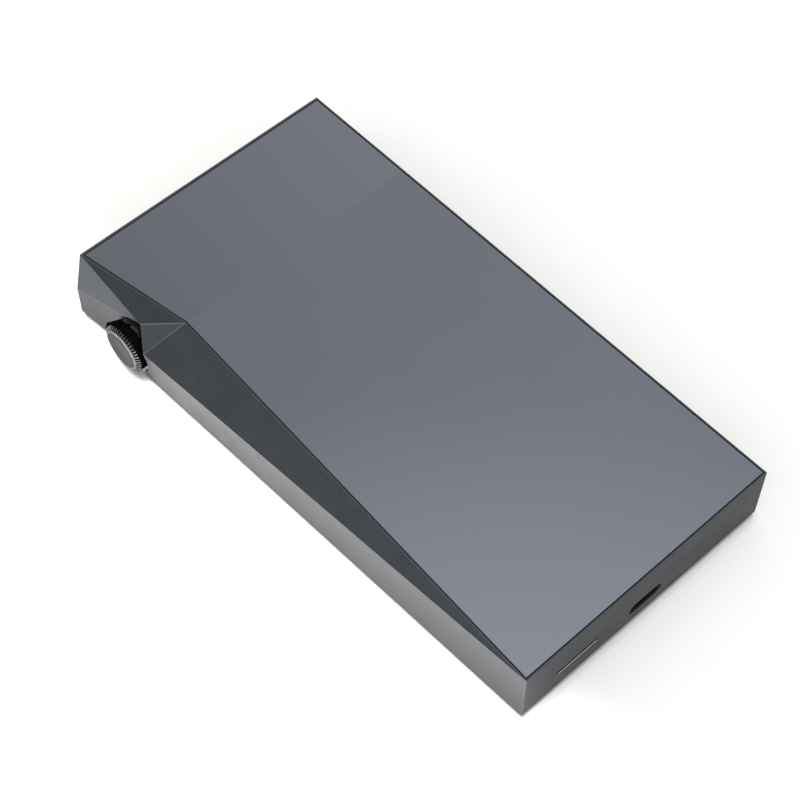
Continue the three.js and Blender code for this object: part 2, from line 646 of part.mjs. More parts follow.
const CARD_BODY = { half: 6.7, y: [CAVITY.low + 0.3, -53.6], z: [6.8, 8.6] };
const CARD_MOUTH = { half: 5.6, end: -55, height: 0.8 };

function cardSocket() {
  const bodyX = [CARD.x - CARD_BODY.half, CARD.x + CARD_BODY.half];
  const mouthX = [CARD.x - CARD_MOUTH.half, CARD.x + CARD_MOUTH.half];
  const mouthZ = [CARD_Z - CARD_MOUTH.height / 2, CARD_Z + CARD_MOUTH.height / 2];
  const mouth = box(mouthX, [CAVITY.low - PAST, CARD_MOUTH.end], mouthZ);
  return cut(box(bodyX, CARD_BODY.y, CARD_BODY.z), mouth);
}

add('card_socket', cardSocket(), 'steel');

// ---- boards, battery and leads ------------------------------------------------------

const MAIN_BOARD = { x: [-20, 30.6], y: [24.4, 52], z: [9.4, 10.4], holes: MAIN_POSTS };
const AUDIO_BOARD = { x: [-20, 30.6], y: [24.4, 51.4], z: [4.6, 5.4], holes: [] };
const LOW_BOARD = { x: [-22.8, 30.6], y: [-67.8, -46], z: [8.9, 9.7], holes: LOW_POSTS };
const SHIELDS = [
  { name: 'processor_shield', x: [-12.6, 4], y: [28.4, 51.4], z: [10.7, 13.2] },
  { name: 'memory_shield', x: [7, 24], y: [30, 51.4], z: [10.7, 13.2] },
  { name: 'audio_shield', x: [-14, 24], y: [29.5, 47], z: [5.7, 8.5] },
];
const BLOCKS = [
  { name: 'thermal_pad', x: [-11.6, 3], y: [29.6, 50], z: [13.4, 14.8], finish: 'foam' },
  { name: 'battery_pad', x: [-18, 16], y: [-40, 18], z: [13.2, 14.8], finish: 'foam' },
  { name: 'battery_circuit', x: [-10, 18], y: [21.3, 23.8], z: [6, 8.6], finish: 'board' },
  { name: 'antenna', x: [-20, -6.5], y: [54.6, 61.6], z: [14.2, 14.7], finish: 'flex' },
];
const BATTERY = { midX: 4, midY: -11, width: 53, length: 64, corner: 2.5, z: [4.4, 13] };
const LINK_FLEX = {
  x: [18.4, 25.6],
  route: [[-52, 9.9], [-46, 9.9], [-44, 13.3], [22, 13.3], [24.6, 10.6], [27.4, 10.6]],
};
const BOARD_HOLE = 0.95;
const BOARD_CORNER = 1;
const CAN_WALL = 0.35;

function board({ x, y, z, holes }) {
  const through = [z[0] - PAST, z[1] + PAST];
  const bores = holes.map(([px, py]) => rod(BOARD_HOLE, 'z', [px, py, 0], through, 12));
  const [midX, midY] = [(x[0] + x[1]) / 2, (y[0] + y[1]) / 2];
  return cut(extruded(rounded(midX, midY, x[1] - x[0], y[1] - y[0], BOARD_CORNER), 'z', z), ...bores);
}

// A pressed can: four walls and a lid, open towards its board.
function can({ x, y, z }) {
  const insideX = [x[0] + CAN_WALL, x[1] - CAN_WALL];
  const insideY = [y[0] + CAN_WALL, y[1] - CAN_WALL];
  return cut(box(x, y, z), box(insideX, insideY, [z[0] - PAST, z[1] - CAN_WALL]));
}

add('main_board', board(MAIN_BOARD), 'board');
add('audio_board', board(AUDIO_BOARD), 'board');
add('low_board', board(LOW_BOARD), 'board');
SHIELDS.forEach((sizes) => add(sizes.name, can(sizes), 'shield'));
BLOCKS.forEach(({ name, x, y, z, finish }) => add(name, box(x, y, z), finish));
screws('main_board_screw', MAIN_POSTS, MAIN_BOARD.z[0], SCREW_LENGTH.main);
screws('low_board_screw', LOW_POSTS, LOW_BOARD.z[0], SCREW_LENGTH.low);

const pouch = rounded(BATTERY.midX, BATTERY.midY, BATTERY.width, BATTERY.length, BATTERY.corner);
add('battery', extruded(pouch, 'z', BATTERY.z), 'battery');
add('link_flex', folded(LINK_FLEX.route, FILM, LINK_FLEX.x), 'flex');

export default player;
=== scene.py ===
"""Looks of a pocket digital audio player that lies on its screen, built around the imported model."""

import json
import math

import bmesh
import bpy
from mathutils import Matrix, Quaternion, Vector


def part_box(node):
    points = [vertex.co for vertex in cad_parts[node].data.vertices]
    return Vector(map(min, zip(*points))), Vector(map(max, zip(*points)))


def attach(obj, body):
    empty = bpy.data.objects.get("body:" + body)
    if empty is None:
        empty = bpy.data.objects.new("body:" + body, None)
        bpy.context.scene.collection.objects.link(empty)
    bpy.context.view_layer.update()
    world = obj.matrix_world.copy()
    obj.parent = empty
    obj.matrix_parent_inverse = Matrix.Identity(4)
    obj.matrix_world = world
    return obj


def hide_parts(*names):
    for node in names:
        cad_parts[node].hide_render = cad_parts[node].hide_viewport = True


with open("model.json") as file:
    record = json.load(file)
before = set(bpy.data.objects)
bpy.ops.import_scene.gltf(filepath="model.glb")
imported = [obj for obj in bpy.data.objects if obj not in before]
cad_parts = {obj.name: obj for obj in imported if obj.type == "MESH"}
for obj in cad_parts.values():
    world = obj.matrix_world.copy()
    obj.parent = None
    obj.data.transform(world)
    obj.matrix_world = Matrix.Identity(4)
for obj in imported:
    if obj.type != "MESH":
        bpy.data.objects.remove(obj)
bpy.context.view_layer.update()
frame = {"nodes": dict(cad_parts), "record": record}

MM = 0.001
CASE = "case"

# ---- places, from the frame ---------------------------------------------------------


def middle(node):
    low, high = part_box(node)
    return (low + high) / 2


def between(at, low, high):
    return all(least < value < most for least, value, most in zip(low, at, high))


CASE_LOW, CASE_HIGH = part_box("main_housing")
WHEEL_LOW, WHEEL_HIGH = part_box("volume_wheel")
WHEEL_MID = middle("volume_wheel")
WHEEL_RADIUS = (WHEEL_HIGH.z - WHEEL_LOW.z) / 2
# The wheel's rim falls back by this much, and then its toothed bevel rises by this much.
RIM_FALL = 0.22 * MM
BEVEL = 0.75 * MM
CAP_LOW, CAP_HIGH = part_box("wheel_cap")
CAP_RADIUS = (CAP_HIGH.z - CAP_LOW.z) / 2
PANEL_LOW, PANEL_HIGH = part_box("display_panel")

# Corners of the facets beside the wheel: at the back glass's notch, over the wheel and before it.
NOTCH = Vector((-26.5, 40.1, 17.5)) * MM
PEAK = Vector((-33.2, 47.5, 15.8)) * MM
NEAR = Vector((-36.6, 42.75, 12.65)) * MM

# The hollow of the case: edges inside it are out of sight and stay as they are.
HOLLOW_LOW = Vector((-28.5, -68.6, -1)) * MM
HOLLOW_HIGH = Vector((36.9, 67.1, 15.5)) * MM

# What lies inside the wheel's mouth, and where the mouth's floor is along X.
MOUTH_LOW = Vector((-36.9, 42, 1.9)) * MM
MOUTH_HIGH = Vector((-31.9, 61.2, 16)) * MM
MOUTH_FLOOR = -32.4 * MM

# Creases that turn by more than this many degrees stay sharp.
SHARP_ABOVE = 35
FACETS_SHARP_ABOVE = 14
TURNED_SHARP_ABOVE = 28

# ---- materials ----------------------------------------------------------------------


class Nodes:
    """Adds nodes to a material or a world, each fed by sockets or plain numbers."""

    def __init__(self, owner, place):
        owner.use_nodes = True
        self.tree = owner.node_tree
        self.tree.nodes.clear()
        self.place = self.add("ShaderNodeTexCoord").outputs[place]

    def add(self, kind, **settings):
        node = self.tree.nodes.new(kind)
        for name, value in settings.items():
            setattr(node, name, value)
        return node

    def link(self, source, target):
        if isinstance(source, bpy.types.NodeSocket):
            self.tree.links.new(source, target)
        else:
            target.default_value = source

    def stretched(self, scale):
        node = self.add("ShaderNodeMapping")
        self.link(self.place, node.inputs["Vector"])
        node.inputs["Scale"].default_value = scale
        return node.outputs["Vector"]

    def noise(self, scale, detail=2.0, roughness=0.5, vector=None):
        node = self.add("ShaderNodeTexNoise")
        self.link(vector or self.place, node.inputs["Vector"])
        node.inputs["Scale"].default_value = scale
        node.inputs["Detail"].default_value = detail
        node.inputs["Roughness"].default_value = roughness
        return node.outputs["Fac"]

    def cells(self, scale, output="Distance"):
        node = self.add("ShaderNodeTexVoronoi")
        self.link(self.place, node.inputs["Vector"])
        node.inputs["Scale"].default_value = scale
        return node.outputs[output]

    def along(self, axis):
        node = self.add("ShaderNodeSeparateXYZ")
        self.link(self.place, node.inputs["Vector"])
        return node.outputs[axis]

    def math(self, operation, first, second=0.0):
        node = self.add("ShaderNodeMath", operation=operation)
        self.link(first, node.inputs[0])
        self.link(second, node.inputs[1])
        return node.outputs[0]

    def fit(self, value, low, high, to_low, to_high):
        node = self.add("ShaderNodeMapRange")
        self.link(value, node.inputs["Value"])
        names = ("From Min", "From Max", "To Min", "To Max")
        for name, number in zip(names, (low, high, to_low, to_high)):
            node.inputs[name].default_value = number
        return node.outputs["Result"]

    def ramp(self, value, *stops):
        node = self.add("ShaderNodeValToRGB")
        self.link(value, node.inputs["Fac"])
        elements = node.color_ramp.elements
        while len(elements) < len(stops):
            elements.new(0.5)
        for element, (position, colour) in zip(elements, stops):
            element.position = position
            element.color = (*colour, 1)
        return node.outputs["Color"]

    def mix(self, share, first, second):
        node = self.add("ShaderNodeMix", data_type="RGBA")
        colours = [s for s in node.inputs if s.type == "RGBA"]
        self.link(share, node.inputs["Factor"])
        for socket, value in zip(colours, (first, second)):
            self.link(value if isinstance(value, bpy.types.NodeSocket) else (*value, 1), socket)
        return next(s for s in node.outputs if s.type == "RGBA")


class Recipe(Nodes):
    """A node material that is put together around one Principled shader."""

    def __init__(self, name, **sockets):
        self.material = bpy.data.materials.new(name)
        super().__init__(self.material, "Object")
        self.shader = self.add("ShaderNodeBsdfPrincipled")
        output = self.add("ShaderNodeOutputMaterial")
        self.link(self.shader.outputs["BSDF"], output.inputs["Surface"])
        for socket, value in sockets.items():
            title = socket.replace("_", " ").title().replace("Ior", "IOR")
            self.shader.inputs[title].default_value = value

    def bump(self, height, distance):
        node = self.add("ShaderNodeBump")
        node.inputs["Distance"].default_value = distance
        self.link(height, node.inputs["Height"])
        if self.shader.inputs["Normal"].is_linked:
            self.link(self.shader.inputs["Normal"].links[0].from_socket, node.inputs["Normal"])
        self.link(node.outputs["Normal"], self.shader.inputs["Normal"])

    def colour(self, value):
        self.link(value, self.shader.inputs["Base Color"])

    def rough(self, value):
        self.link(value, self.shader.inputs["Roughness"])

    def from_wheel_axis(self):
        """How far the shaded point lies from the wheel's axis."""
        y = self.math("SUBTRACT", self.along("Y"), WHEEL_MID.y)
        z = self.math("SUBTRACT", self.along("Z"), WHEEL_MID.z)
        squares = self.math("ADD", self.math("MULTIPLY", y, y), self.math("MULTIPLY", z, z))
        return self.math("SQRT", squares)


def shade(colour, factor):
    return tuple(c * factor for c in colour)


def grey(level):
    return (level, level, level, 1)


def blasted(name, colour, roughness, grain=0.012, **sockets):
    """Anodised aluminium that was blasted with fine beads: pits, and a faint cloudiness."""
    made = Recipe(name, metallic=1.0, **sockets)
    cloud = made.noise(180, 3, 0.55)
    pits = made.noise(5200, 3, 0.65)
    speck = made.noise(2600, 1, 0.5)
    tone = made.math("ADD", made.math("MULTIPLY", cloud, 0.5), made.math("MULTIPLY", speck, 0.5))
    darker = (0.32, shade(colour, 0.88))
    lighter = (0.7, shade(colour, 1.14))
    made.colour(made.ramp(tone, darker, (0.5, colour), lighter))
    made.rough(made.fit(cloud, 0.3, 0.7, roughness - 0.04, roughness + 0.05))
    made.bump(pits, grain * MM)
    return made.material


def smoke_mirror(name):
    """Mirror coat under clear glass, in two tones that meet level with the case's notch; the upper
    tone has a painted reflection that lightens towards the keys' side.
    """
    made = Recipe(name, metallic=1.0, coat_weight=0.6, coat_roughness=0.03, coat_ior=1.5)
    above = made.math("GREATER_THAN", made.along("Y"), NOTCH.y)
    lower = made.ramp(made.noise(9, 2), (0.3, GLASS_LOWER), (0.7, shade(GLASS_LOWER, 1.05)))
    # Painted reflection: the upper tone runs from dimmer by the wheel to lighter by the keys.
    across = made.fit(made.along("X"), CASE_LOW.x, CASE_HIGH.x, 0, 1)
    painted_reflection_by_wheel = (0.1, shade(GLASS_UPPER, 0.95))
    painted_reflection_by_keys = (0.95, shade(GLASS_UPPER, 1.14))
    upper = made.ramp(across, painted_reflection_by_wheel, painted_reflection_by_keys)
    two_tone = made.mix(above, lower, upper)
    dust = made.math("LESS_THAN", made.cells(330), 0.030)
    sparse = made.math("GREATER_THAN", made.noise(30, 1), 0.66)
    made.colour(made.mix(made.math("MULTIPLY", dust, sparse), two_tone, (0.27, 0.28, 0.30)))
    smear = made.noise(60, 4, 0.6, made.stretched((1, 0.35, 1)))
    made.rough(made.fit(smear, 0.35, 0.75, 0.10, 0.16))
    made.bump(made.noise(25, 1), 0.004 * MM)
    return made.material


def gloss(name, colour, roughness, **sockets):
    """Smooth glass or lacquer with the odd smear."""
    made = Recipe(name, **sockets)
    made.colour(made.ramp(made.noise(40, 2), (0.3, colour), (0.7, shade(colour, 1.2))))
    smear = made.noise(70, 4, 0.6, made.stretched((1, 0.3, 1)))
    made.rough(made.fit(smear, 0.3, 0.8, roughness, roughness + 0.07))
    made.bump(made.noise(30, 1), 0.003 * MM)
    return made.material


def cover_glass_look(name):
    """Clear cover glass with a black border behind it, inside which the unlit display shows."""
    made = Recipe(name, coat_weight=1.0, coat_roughness=0.02, ior=1.5)
    border = 1.2 * MM
    inside = 1.0
    for axis, low, high in (("X", PANEL_LOW.x, PANEL_HIGH.x), ("Y", PANEL_LOW.y, PANEL_HIGH.y)):
        value = made.along(axis)
        for test, limit in (("GREATER_THAN", low + border), ("LESS_THAN", high - border)):
            inside = made.math("MULTIPLY", inside, made.math(test, value, limit))
    dots = made.cells(12000)
    display = made.ramp(dots, (0.2, (0.010, 0.011, 0.014)), (0.8, (0.016, 0.017, 0.021)))
    made.colour(made.mix(inside, (0.0035, 0.0035, 0.004), display))
    made.rough(made.fit(made.noise(55, 4, 0.6), 0.3, 0.8, 0.03, 0.10))
    made.bump(made.noise(28, 1), 0.003 * MM)
    return made.material


def turned(name, colour, roughness, **sockets):
    """Metal with the fine rings that a lathe leaves about the wheel's axis."""
    made = Recipe(name, metallic=1.0, anisotropic=0.35, **sockets)
    pitch = 0.12 * MM
    turns = made.math("MULTIPLY", made.from_wheel_axis(), 2 * math.pi / pitch)
    rings = made.math("SINE", turns)
    cloud = made.noise(700, 3, 0.6)
    made.colour(made.ramp(cloud, (0.3, shade(colour, 0.82)), (0.7, shade(colour, 1.15))))
    made.rough(made.fit(cloud, 0.3, 0.7, roughness - 0.05, roughness + 0.06))
    made.bump(made.math("ADD", rings, made.math("MULTIPLY", cloud, 1.5)), 0.0015 * MM)
    return made.material


def knurl_with_painted_glints(name, colour):
    """Black anodised knurling whose crests on the bevel at the front are painted bright: a painted
    highlight that stands for glints on the teeth.
    """
    made = Recipe(name, metallic=1.0)
    inward = made.math("SUBTRACT", made.along("X"), WHEEL_LOW.x + RIM_FALL)
    on_bevel = made.math("LESS_THAN", inward, BEVEL + 0.05 * MM)
    crest_radius = made.math("ADD", inward, WHEEL_RADIUS - BEVEL)
    height = made.math("SUBTRACT", made.from_wheel_axis(), crest_radius)
    crest = made.math("MULTIPLY", made.fit(height, -0.12 * MM, 0, 0, 1), on_bevel)
    # Painted highlight: the crests on the bevel are lightened tenfold, broken up by noise.
    painted_glint = made.math("MULTIPLY", crest, made.fit(made.noise(900, 3, 0.6), 0.3, 0.7, 0.2, 1))
    made.colour(made.mix(painted_glint, colour, shade(colour, 10)))
    made.rough(made.fit(made.noise(1500, 3), 0.3, 0.7, 0.26, 0.4))
    made.bump(made.noise(4200, 2), 0.006 * MM)
    return made.material


def plated(name, colour, roughness, scale, stretch=(1, 1, 1)):
    """Sheet metal or plating with a drawn or rolled grain."""
    made = Recipe(name, metallic=1.0)
    grain = made.noise(scale, 4, 0.6, made.stretched(stretch))
    cloud = made.noise(160, 2)
    made.colour(made.ramp(cloud, (0.3, shade(colour, 0.85)), (0.7, shade(colour, 1.08))))
    made.rough(made.fit(grain, 0.3, 0.7, roughness - 0.06, roughness + 0.08))
    made.bump(grain, 0.004 * MM)
    return made.material


def moulded(name, colour, roughness, grain_scale=3500, depth=0.01):
    """Plastic or film with an even moulded grain."""
    made = Recipe(name)
    grain = made.noise(grain_scale, 3, 0.6)
    cloud = made.noise(220, 2)
    made.colour(made.ramp(cloud, (0.3, shade(colour, 0.85)), (0.7, shade(colour, 1.2))))
    made.rough(made.fit(grain, 0.3, 0.7, roughness - 0.06, roughness + 0.06))
    made.bump(grain, depth * MM)
    return made.material


def foam(name, colour):
    """Closed-cell foam, matt and pitted."""
    made = Recipe(name)
    cell = made.cells(2600)
    made.colour(made.ramp(cell, (0.1, shade(colour, 0.5)), (0.6, shade(colour, 1.3))))
    made.rough(made.fit(cell, 0.0, 0.8, 0.85, 1.0))
    made.bump(cell, 0.08 * MM)
    return made.material


def laminate(name):
    """Green solder mask over woven glass, with gilt pads and tracks under the mask."""
    made = Recipe(name, coat_weight=0.3, coat_roughness=0.2)
    threads = 5200
    warp = made.math("SINE", made.math("MULTIPLY", made.along("X"), threads))
    weft = made.math("SINE", made.math("MULTIPLY", made.along("Y"), threads))
    weave = made.math("MULTIPLY", warp, weft)
    raised = made.fit(weave, -1, 1, 0, 1)
    green = made.ramp(raised, (0.2, (0.012, 0.085, 0.045)), (0.8, (0.018, 0.12, 0.062)))
    tracks = made.math("GREATER_THAN", made.cells(620, "Color"), 0.72)
    masked = made.mix(tracks, green, (0.02, 0.16, 0.075))
    pads = made.math("LESS_THAN", made.cells(900), 0.11)
    made.colour(made.mix(pads, masked, (0.6, 0.44, 0.17)))
    made.rough(made.fit(weave, -1, 1, 0.34, 0.48))
    made.bump(made.math("ADD", weave, tracks), 0.01 * MM)
    return made.material


def amber_film(name):
    """Amber film with copper tracks along it."""
    made = Recipe(name, coat_weight=0.4, coat_roughness=0.15)
    pitch = 0.8 * MM
    track = made.math("SINE", made.math("MULTIPLY", made.along("X"), 2 * math.pi / pitch))
    copper = made.math("GREATER_THAN", track, 0.1)
    made.colour(made.mix(copper, (0.30, 0.13, 0.03), (0.62, 0.27, 0.10)))
    made.rough(made.fit(made.noise(500, 3), 0.3, 0.7, 0.3, 0.45))
    made.bump(track, 0.01 * MM)
    return made.material


def pouch(name):
    """Wrapped battery pouch: matt foil with soft wrinkles."""
    made = Recipe(name, metallic=0.6)
    wrinkle = made.noise(90, 4, 0.6, made.stretched((1, 2.5, 1)))
    made.colour(made.ramp(wrinkle, (0.3, (0.05, 0.055, 0.063)), (0.7, (0.08, 0.086, 0.097))))
    made.rough(made.fit(wrinkle, 0.3, 0.7, 0.38, 0.52))
    made.bump(wrinkle, 0.12 * MM)
    return made.material


def smoked(name):
    """Smoked plastic that is dark until the lamps behind it are lit."""
    made = Recipe(name, ior=1.3)
    cloud = made.noise(500, 2)
    made.colour(made.ramp(cloud, (0.3, (0.004, 0.004, 0.005)), (0.7, (0.007, 0.007, 0.008))))
    made.rough(made.fit(made.noise(1800, 2), 0.3, 0.7, 0.6, 0.75))
    made.bump(made.noise(3000, 2), 0.006 * MM)
    return made.material


ALUMINIUM = (0.061, 0.066, 0.073)
GLASS_LOWER = (0.177, 0.193, 0.234)
GLASS_UPPER = (0.177, 0.189, 0.227)

LOOKS = {
    "housing_aluminium": blasted(
        "blasted_aluminium", ALUMINIUM, 0.42, specular_tint=grey(0.72)
    ),
    "rear_glass": smoke_mirror("smoke_mirror_glass"),
    "front_glass": cover_glass_look("black_cover_glass"),
    "display_panel": gloss("display_polariser", (0.010, 0.011, 0.014), 0.12, coat_weight=0.5),
    "wheel_aluminium": knurl_with_painted_glints("knurled_black_aluminium", (0.016, 0.016, 0.018)),
    "wheel_face": turned(
        "turned_grey_aluminium", (0.05, 0.05, 0.052), 0.4, specular_tint=grey(0.5)
    ),
    "key_aluminium": blasted("key_aluminium", (0.054, 0.056, 0.060), 0.42),
    "light_diffuser": smoked("smoked_diffuser"),
    "steel": plated("passivated_steel", (0.50, 0.51, 0.52), 0.34, 700, (1, 8, 1)),
    "dark_steel": plated("black_nickel_steel", (0.022, 0.022, 0.023), 0.4, 900, (1, 6, 1)),
    "gilt_brass": plated("gilt_brass", (0.70, 0.50, 0.20), 0.24, 1400),
    "black_plastic": moulded("black_plastic", (0.013, 0.013, 0.014), 0.5),
    "adhesive_film": moulded("black_tape", (0.010, 0.010, 0.011), 0.75, 1600, 0.03),
    "circuit_board": laminate("green_laminate"),
    "shield_steel": plated("tinned_steel", (0.58, 0.59, 0.59), 0.36, 420),
    "battery_foil": pouch("battery_pouch"),
    "foam": foam("closed_cell_foam", (0.035, 0.035, 0.038)),
    "flex_film": amber_film("amber_flex"),
}
# Polished edges and painted highlight: the chamfers and the top face round the back glass are lighter
# than the body, with the body's roughness.
POLISHED_EDGE_AND_PAINTED_HIGHLIGHT = blasted("polished_facet_edge_and_painted_highlight", (0.10, 0.104, 0.11), 0.42, 0.002)
# Painted highlight: a light strip along the creases that run from the back glass's notch.
CREASE_PAINTED_HIGHLIGHT = blasted("crease_painted_highlight", (0.20, 0.205, 0.21), 0.42, 0.002)
# Painted shade: near-black that stands for the shade inside the wheel's mouth and in the gap behind
# the wheel's bevel.
PAINTED_SHADE_BLACK = blasted(
    "painted_shade_black", (0.008, 0.008, 0.009), 0.5, 0.006, specular_tint=grey(0.4)
)
BARE_LIP = blasted("bare_metal_lip", (0.62, 0.62, 0.62), 0.35, 0.002)
GLASS_EDGE = gloss("dark_glass_edge", (0.012, 0.016, 0.026), 0.12)
RIM_EDGE = turned("bright_rim", (0.12, 0.12, 0.12), 0.3, specular_tint=grey(0.5))

SLOT_OF = {part["node"]: part["material_slot"] for part in frame["record"]["subparts"]}
for node, cad_object in frame["nodes"].items():
    cad_object.data.materials.clear()
    cad_object.data.materials.append(LOOKS[SLOT_OF[node]])

# ---- pieces -------------------------------------------------------------------------


def piece(name, surface, body, looks, stands_for=(), sharp_above=SHARP_ABOVE):
    """Turns a bmesh into a piece of the object that rides on a body."""
    mesh = bpy.data.meshes.new(name)
    bmesh.ops.recalc_face_normals(surface, faces=surface.faces)
    surface.to_mesh(mesh)
    surface.free()
    for look in looks:
        mesh.materials.append(look)
    mesh.shade_smooth()
    mesh.set_sharp_from_angle(angle=math.radians(sharp_above))
    made = bpy.data.objects.new(name, mesh)
    bpy.context.scene.collection.objects.link(made)
    keep = made.modifiers.new("flat_faces_stay_flat", "WEIGHTED_NORMAL")
    keep.keep_sharp = True
    keep.weight = 100
    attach(made, body)
    if stands_for:
        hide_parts(*stands_for)


def cad_surface(node):
    """A node's own surface, with its seams joined and its flat faces whole."""
    surface = bmesh.new()
    surface.from_mesh(frame["nodes"][node].data)
    bmesh.ops.remove_doubles(surface, verts=surface.verts, dist=0.002 * MM)
    flat = math.radians(0.3)
    bmesh.ops.dissolve_limit(surface, angle_limit=flat, verts=surface.verts, edges=surface.edges)
    bmesh.ops.recalc_face_normals(surface, faces=surface.faces)
    return surface


def soften(surface, wanted, width, steps=2, look=-1, least_turn=6):
    """Rounds the outward edges that the test picks, over a given width."""
    picked = [
        edge
        for edge in surface.edges
        if len(edge.link_faces) == 2
        and edge.is_convex
        and edge.calc_face_angle() > math.radians(least_turn)
        and wanted(edge)
    ]
    bmesh.ops.bevel(
        surface,
        geom=picked,
        offset=width,
        offset_type="WIDTH",
        segments=steps,
        profile=0.5,
        affect="EDGES",
        clamp_overlap=False,
        material=look,
    )


# Where each of the case's looks stands after its plain one.
EDGE, CREASE, LIP, MOUTH = range(1, 5)


def edge_mid(edge):
    return (edge.verts[0].co + edge.verts[1].co) / 2


def anywhere(edge):
    return True


def outer_edge(edge):
    """Whether an edge is outside the hollow and neither of its sides is a bevel already."""
    bevelled = any(face.material_index in (CREASE, LIP) for face in edge.link_faces)
    return not bevelled and not between(edge_mid(edge), HOLLOW_LOW, HOLLOW_HIGH)


def joins(edge, first, second):
    """Whether an edge runs along the line between two corners."""
    line = second - first
    near = 0.25 * MM
    return all(
        (v.co - first).cross(line).length < near * line.length
        and -0.05 < (v.co - first).dot(line) / line.length_squared < 1.05
        for v in edge.verts
    )


def crease_painted_highlight(edge):
    return joins(edge, NOTCH, PEAK)


def stripe(surface, first, second, width, look):
    """Sets off a narrow strip of a facet, along its edge between two corners."""
    facet = max(
        (face for edge in surface.edges if joins(edge, first, second) for face in edge.link_faces),
        key=lambda face: face.calc_area(),
    )
    along = (second - first).normalized()
    across = facet.normal.cross(along)
    if across.dot(facet.calc_center_median() - first) < 0:
        across.negate()
    cut = bmesh.ops.bisect_plane(
        surface,
        geom=[facet, *facet.edges, *facet.verts],
        plane_co=first + across * width,
        plane_no=across,
    )
    for part in cut["geom"]:
        if not isinstance(part, bmesh.types.BMFace):
            continue
        if across.dot(part.calc_center_median() - first) < width:
            part.material_index = look


def in_mouth(face):
    """Whether a face of the case is a side or the floor of the wheel's mouth."""
    at = face.calc_center_median()
    is_side = abs(face.normal.x) < 0.2
    is_floor = abs(at.x - MOUTH_FLOOR) < 0.1 * MM
    return between(at, MOUTH_LOW, MOUTH_HIGH) and (is_side or is_floor)


def slot_lip(edge):
    """The lower edge of the card slot's mouth, on the port end."""
    away = edge_mid(edge) - middle("card_socket")
    on_end = abs(edge_mid(edge).y - CASE_LOW.y) < 0.01 * MM
    return on_end and abs(away.x) < 5.6 * MM and -0.62 * MM < away.z < -0.3 * MM


def make_case():
    surface = cad_surface("main_housing")
    for face in surface.faces:
        if face.normal.z > 0.999 and face.calc_center_median().z > CASE_HIGH.z - 0.01 * MM:
            face.material_index = EDGE
        # The sides and the floor of the wheel's mouth get the painted shade.
        if in_mouth(face):
            face.material_index = MOUTH
    # Painted highlight along both creases from the notch: a strip of the facet beside the concave
    # crease, and the bevel on the crease to the peak.
    stripe(surface, NOTCH, NEAR, 0.17 * MM, CREASE)
    soften(surface, slot_lip, 0.11 * MM, look=LIP)
    soften(surface, crease_painted_highlight, 0.2 * MM, look=CREASE)
    soften(surface, outer_edge, 0.12 * MM, look=EDGE)
    piece(
        "case_shell",
        surface,
        CASE,
        [LOOKS["housing_aluminium"], POLISHED_EDGE_AND_PAINTED_HIGHLIGHT, CREASE_PAINTED_HIGHLIGHT, BARE_LIP, PAINTED_SHADE_BLACK],
        ["main_housing"],
        FACETS_SHARP_ABOVE,
    )


def make_glasses():
    back = cad_surface("rear_glass")
    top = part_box("rear_glass")[1].z
    soften(back, lambda edge: edge_mid(edge).z > top - 0.01 * MM, 0.22 * MM, look=1)
    piece("back_glass", back, CASE, [LOOKS["rear_glass"], GLASS_EDGE], ["rear_glass"])

    front = cad_surface("front_glass")
    soften(front, anywhere, 0.12 * MM)
    piece("cover_glass", front, CASE, [LOOKS["front_glass"]], ["front_glass"])


# ---- volume wheel -------------------------------------------------------------------

TEETH = 48
# Where a tooth's points lie, as a share of the pitch, and how high they reach.
TOOTH_POINTS = ((-0.5, 0), (-0.28, 0.15), (-0.14, 1), (0.14, 1), (0.28, 0.15))
TOOTH_DEPTH = 0.40 * MM
# Where each of the wheel's looks stands.
KNURL, RIM, PAINTED_SHADE_BAND = range(3)


def about_wheel(x, radius, turns):
    """A point about the wheel's axis."""
    angle = 2 * math.pi * turns
    return (x, WHEEL_MID.y + radius * math.cos(angle), WHEEL_MID.z + radius * math.sin(angle))


def toothed_ring(surface, x, crest, depth):
    """A ring about the wheel's axis whose valleys lie the given depth below its crests."""
    points = []
    for tooth in range(TEETH):
        for shift, height in TOOTH_POINTS:
            at = about_wheel(x, crest - depth * (1 - height), (tooth + shift) / TEETH)
            points.append(surface.verts.new(at))
    return points


def bridge(surface, first, second, look=0):
    for i in range(len(first)):
        j = (i + 1) % len(first)
        face = surface.faces.new((first[i], first[j], second[j], second[i]))
        face.material_index = look


